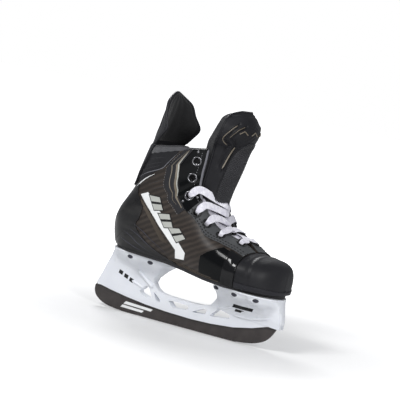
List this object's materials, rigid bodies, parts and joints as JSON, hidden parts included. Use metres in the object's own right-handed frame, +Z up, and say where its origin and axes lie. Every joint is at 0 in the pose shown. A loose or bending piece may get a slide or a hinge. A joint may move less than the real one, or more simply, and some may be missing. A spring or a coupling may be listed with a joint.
{
  "type": "ice hockey skate",
  "caption": "Junior ice hockey skate for the right foot with a padded laced boot, hinged tongue and tendon guard, plastic blade holder and steel runner.",
  "frame": {"origin": "on the ice under the middle of the skate, in the blade plane", "axes": "+X to the toe, +Y to the inner (medial) side of this right-foot skate, +Z up"},
  "size_m": [0.2158, 0.0801, 0.2256],
  "materials": {
    "steel_runner": "matte dark coating",
    "holder_plastic": "white satin nylon",
    "fastener_steel": "zinc plated",
    "rivet_metal": "dark lacquered",
    "outsole_plastic": "matte composite",
    "board": "pressed fibre board",
    "footbed_foam": "moulded foam with a fabric top",
    "toe_plastic": "charcoal, fine texture",
    "rand_rubber": "matte",
    "lining_fabric": "brushed lining",
    "quarter_weave": "bronze hatched composite",
    "heel_plastic": "dark film with fine streaks",
    "gloss_overlay": "black patent film",
    "eyestay_fabric": "grey grained synthetic",
    "trim_film": "pale bronze film",
    "eyelet_steel": "polished",
    "eyelet_black": "black lacquer",
    "padding_foam": "closed cell foam",
    "collar_fabric": "soft grey collar",
    "guard_plastic": "black",
    "guard_lining": "black felt",
    "tongue_moulded": "embossed black",
    "tongue_lining": "black felt",
    "lace_cotton": "white flat braid"
  },
  "bodies": {
    "boot": {"runner": "steel_runner", "holder": "holder_plastic", "runner_studs": "fastener_steel", "runner_nuts": "fastener_steel", "rivets_rear": "rivet_metal", "rivets_front": "rivet_metal", "outsole": "outsole_plastic", "insole_board": "board", "footbed": "footbed_foam", "toe_cap": "toe_plastic", "toe_rand": "rand_rubber", "toe_lining": "lining_fabric", "liner_lateral": "lining_fabric", "liner_medial": "lining_fabric", "quarter_lateral": "quarter_weave", "quarter_medial": "quarter_weave", "heel_counter_lateral": "heel_plastic", "heel_counter_medial": "heel_plastic", "vamp_band_lateral": "gloss_overlay", "vamp_band_medial": "gloss_overlay", "eyestay_upper_lateral": "gloss_overlay", "eyestay_upper_medial": "gloss_overlay", "eyestay_lower_lateral": "eyestay_fabric", "eyestay_lower_medial": "eyestay_fabric", "ankle_trim_lateral": "trim_film", "ankle_trim_medial": "trim_film", "eyelets_upper_lateral": "eyelet_steel", "eyelets_upper_medial": "eyelet_steel", "eyelets_lower_lateral": "eyelet_black", "eyelets_lower_medial": "eyelet_black", "ankle_foam_lateral": "padding_foam", "ankle_foam_medial": "padding_foam", "collar_lateral": "collar_fabric", "collar_medial": "collar_fabric", "guard_base": "guard_plastic", "tongue_vamp": "tongue_moulded", "lace": "lace_cotton"},
    "tongue": {"tongue_face": "tongue_moulded", "tongue_felt": "tongue_lining"},
    "tendon_guard": {"tendon_guard": "guard_plastic", "tendon_guard_felt": "guard_lining"}
  },
  "joints": [
    {"name": "tongue_flex", "type": "hinge", "parent": "boot", "child": "tongue", "pos_m": [0.0274, 0, 0.1382], "axis": [0, 1, 0], "range_deg": [-3, 35], "stiffness_Nm_per_rad": 0.8},
    {"name": "tendon_guard_flex", "type": "hinge", "parent": "boot", "child": "tendon_guard", "pos_m": [-0.062, 0, 0.1705], "axis": [0, -1, 0], "range_deg": [0, 28], "stiffness_Nm_per_rad": 2}
  ]
}
